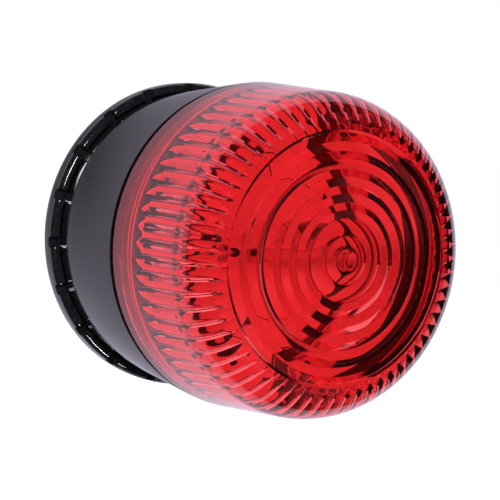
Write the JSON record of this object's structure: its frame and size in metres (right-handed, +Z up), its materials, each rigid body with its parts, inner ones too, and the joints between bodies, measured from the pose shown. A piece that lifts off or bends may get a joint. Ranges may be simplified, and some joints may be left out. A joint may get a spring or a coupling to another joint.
{
  "type": "alarm siren",
  "caption": "Round wall siren with a red fluted flash lens, black housing and castellated base collar that twists off its base.",
  "frame": {"origin": "centre of the base's flat back face, which lies on the wall", "axes": "-Y out of the wall through the lens, +Y into the wall, +Z up, +X to the right seen from the front"},
  "size_m": [0.098, 0.096, 0.098],
  "materials": {
    "black_plastic": "gloss moulded ABS",
    "rubber": "matt moulded rubber",
    "lens_red": "clear red polycarbonate with moulded flutes and rings",
    "reflector_chrome": "bright metallised plastic",
    "board_green": "solder mask over glass fibre",
    "steel": "zinc plated",
    "terminal_plastic": "moulded nylon",
    "brass": "plain",
    "dark_plastic": "fine moulded texture",
    "switch_blue": "moulded",
    "white_plastic": "moulded acetal",
    "tube_glass": "clear quartz glass",
    "sleeve_blue": "shrunk plastic sleeve",
    "copper": "enamelled copper winding",
    "ceramic_white": "silvered ceramic"
  },
  "bodies": {
    "base": {"mounting_base": "black_plastic", "rear_gasket": "rubber", "cable_grommet": "rubber", "terminal_board": "board_green", "board_screw_1": "steel", "board_screw_2": "steel", "board_screw_3": "steel", "board_screw_4": "steel", "terminal_block": "terminal_plastic", "terminal_screw_1": "steel", "terminal_screw_2": "steel", "terminal_screw_3": "steel", "terminal_screw_4": "steel", "terminal_screw_5": "steel", "terminal_screw_6": "steel", "contact_spring_1": "brass", "contact_spring_2": "brass", "contact_spring_3": "brass", "contact_spring_4": "brass", "tamper_switch": "dark_plastic", "dip_switch_body": "switch_blue", "volume_trimmer_body": "switch_blue", "tamper_spring": "steel"},
    "head": {"housing": "black_plastic", "lens_gasket": "rubber", "lens": "lens_red", "reflector": "reflector_chrome", "reflector_holder": "dark_plastic", "lamp_tray": "white_plastic", "xenon_tube": "tube_glass", "tube_cap_1": "steel", "tube_cap_2": "steel", "trigger_coil": "copper", "flash_capacitor": "sleeve_blue", "strobe_board": "board_green", "board_spacer_1": "white_plastic", "board_spacer_2": "white_plastic", "board_spacer_3": "white_plastic", "stack_screw_1": "steel", "stack_screw_2": "steel", "stack_screw_3": "steel", "main_board": "board_green", "board_header": "dark_plastic", "contact_rivet_1": "brass", "contact_rivet_2": "brass", "contact_rivet_3": "brass", "contact_rivet_4": "brass", "smoothing_capacitor": "sleeve_blue", "step_up_coil": "copper", "driver_chip": "dark_plastic", "piezo_seat": "rubber", "piezo_plate": "brass", "piezo_ceramic": "ceramic_white", "sound_chamber": "dark_plastic"},
    "tamper": {"tamper_plunger": "white_plastic"},
    "volume": {"volume_rotor": "white_plastic"},
    "dip_1": {"dip_slider_1": "white_plastic"},
    "dip_2": {"dip_slider_2": "white_plastic"},
    "dip_3": {"dip_slider_3": "white_plastic"},
    "dip_4": {"dip_slider_4": "white_plastic"}
  },
  "joints": [
    {"name": "head_twist", "type": "hinge", "parent": "base", "child": "head", "pos_m": [0, 0, 0], "axis": [0, -1, 0], "range_deg": [0, 18]},
    {"name": "tamper_press", "type": "slide", "parent": "base", "child": "tamper", "axis": [0, -1, 0], "range_m": [0, 0.0018], "stiffness_N_per_m": 300, "deforming": ["tamper_spring"]},
    {"name": "volume_turn", "type": "hinge", "parent": "base", "child": "volume", "pos_m": [-0.008, -0.016, 0.01], "axis": [0, -1, 0], "range_deg": [-135, 135]},
    {"name": "dip_1_slide", "type": "slide", "parent": "base", "child": "dip_1", "axis": [0, 0, 1], "range_m": [0, 0.0014]},
    {"name": "dip_2_slide", "type": "slide", "parent": "base", "child": "dip_2", "axis": [0, 0, 1], "range_m": [0, 0.0014]},
    {"name": "dip_3_slide", "type": "slide", "parent": "base", "child": "dip_3", "axis": [0, 0, 1], "range_m": [0, 0.0014]},
    {"name": "dip_4_slide", "type": "slide", "parent": "base", "child": "dip_4", "axis": [0, 0, 1], "range_m": [0, 0.0014]}
  ]
}
